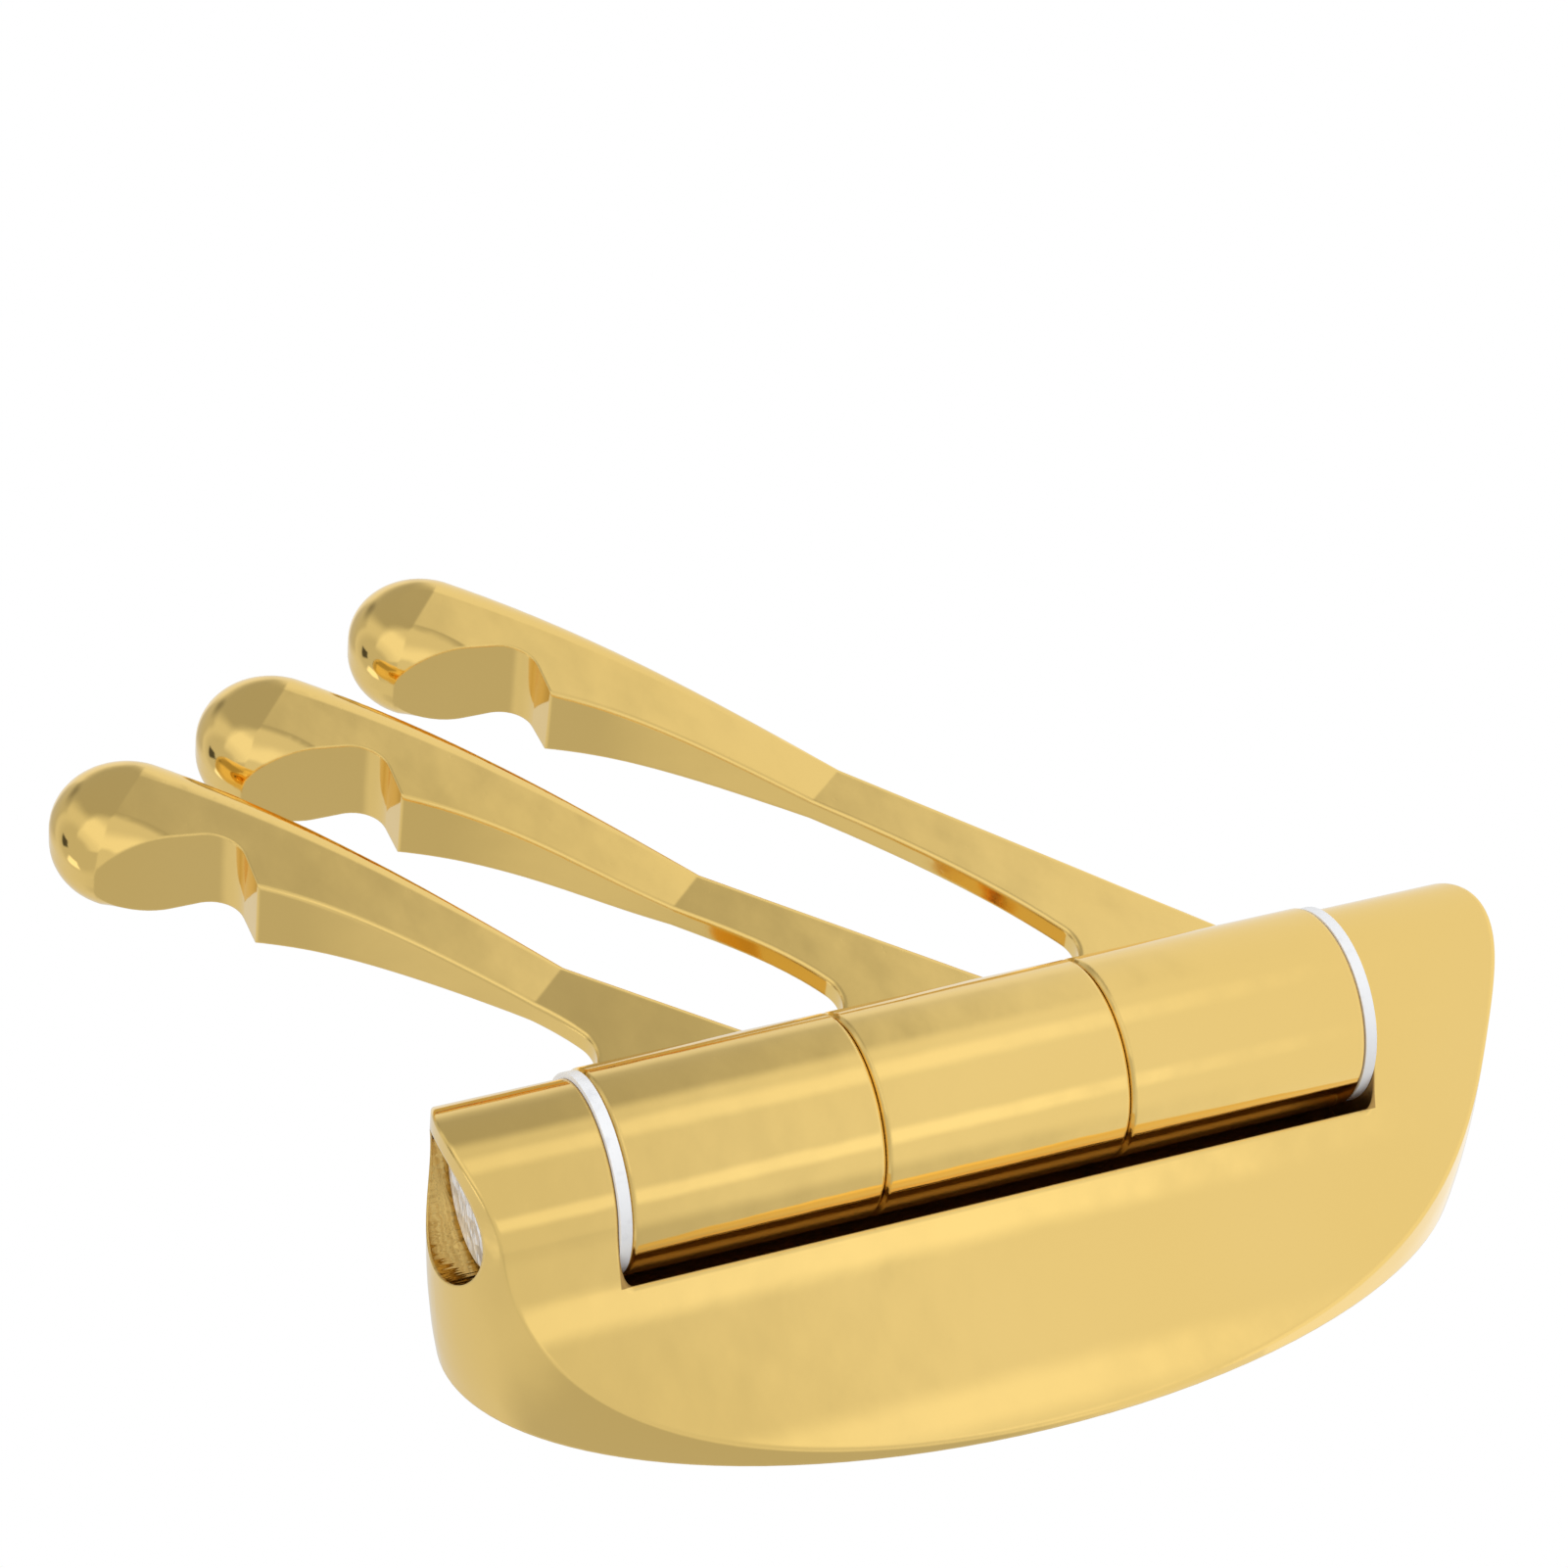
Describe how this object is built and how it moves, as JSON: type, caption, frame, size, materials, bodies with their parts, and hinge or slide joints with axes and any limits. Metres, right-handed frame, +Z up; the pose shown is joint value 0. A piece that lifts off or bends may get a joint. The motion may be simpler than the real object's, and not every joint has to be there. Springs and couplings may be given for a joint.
{
  "type": "folding wall hook",
  "caption": "Folding wall hook: cast arms of stepped length swing side to side on one upright pin in an elliptical plate, each arm ending in a notched, rounded head.",
  "frame": {"origin": "on the wall plane, behind the middle of the three knuckles and midway between the two wall screws", "axes": "+X to the right seen from the front, +Y into the wall, +Z up as it hangs; the hinge pin runs along Z, 19.5 mm in front of the wall"},
  "size_m": [0.1038, 0.0351, 0.1252],
  "materials": {
    "gold_plate": "mirror-polished gold plating on zinc die casting",
    "steel": "zinc-plated steel",
    "washer_plastic": "white plastic washer"
  },
  "bodies": {
    "base": {"base": "gold_plate", "hinge_pin": "steel", "washer_top": "washer_plastic", "washer_bottom": "washer_plastic", "wall_bracket": "steel", "grub_screw": "steel"},
    "hook_top": {"hook_top": "gold_plate"},
    "hook_middle": {"hook_middle": "gold_plate"},
    "hook_bottom": {"hook_bottom": "gold_plate"}
  },
  "joints": [
    {"name": "hook_top_swing", "type": "hinge", "parent": "base", "child": "hook_top", "pos_m": [0, -0.0195, 0], "axis": [0, 0, 1], "range_deg": [-184, 20]},
    {"name": "hook_middle_swing", "type": "hinge", "parent": "base", "child": "hook_middle", "pos_m": [0, -0.0195, 0], "axis": [0, 0, 1], "range_deg": [-184, 20]},
    {"name": "hook_bottom_swing", "type": "hinge", "parent": "base", "child": "hook_bottom", "pos_m": [0, -0.0195, 0], "axis": [0, 0, 1], "range_deg": [-184, 20]}
  ]
}
